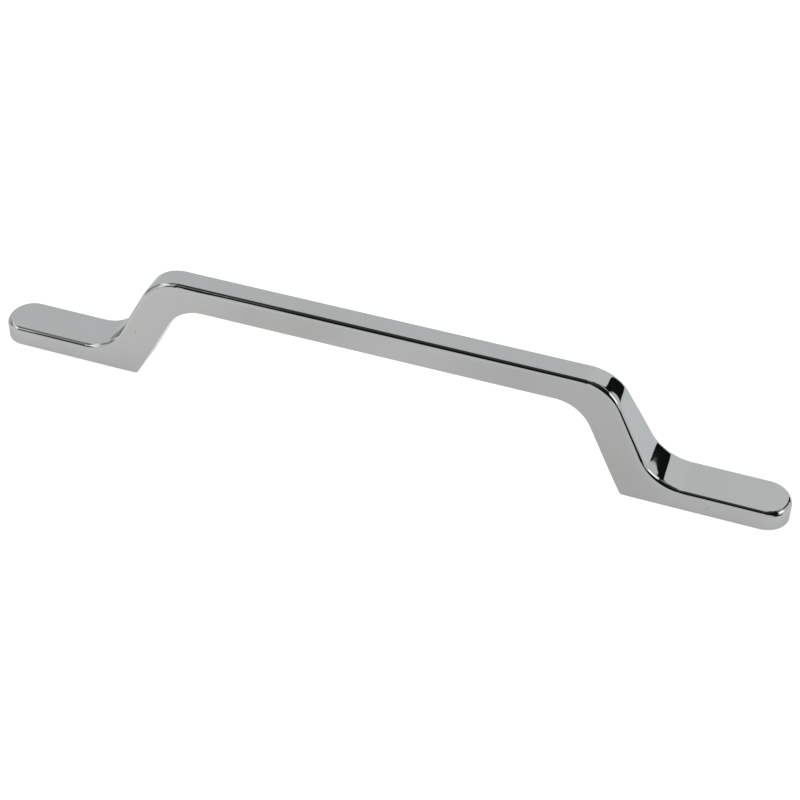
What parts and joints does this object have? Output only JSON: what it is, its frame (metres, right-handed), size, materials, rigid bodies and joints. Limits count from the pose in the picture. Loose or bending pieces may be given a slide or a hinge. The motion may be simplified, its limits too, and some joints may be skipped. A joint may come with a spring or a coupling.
{
  "type": "cabinet handle",
  "caption": "Chrome-plated bow cabinet handle with long flat feet, leaning legs and a narrow bridge, fixed by screws from behind.",
  "frame": {"origin": "middle of the handle, on the plane of the feet's undersides, which is the face of the door", "axes": "+X along the handle, +Y across it, +Z away from the door"},
  "size_m": [0.197, 0.0118, 0.0284],
  "materials": {
    "chrome_plate": "polished chrome plate on die-cast zinc"
  },
  "bodies": {
    "root": {"handle": "chrome_plate"}
  },
  "joints": []
}
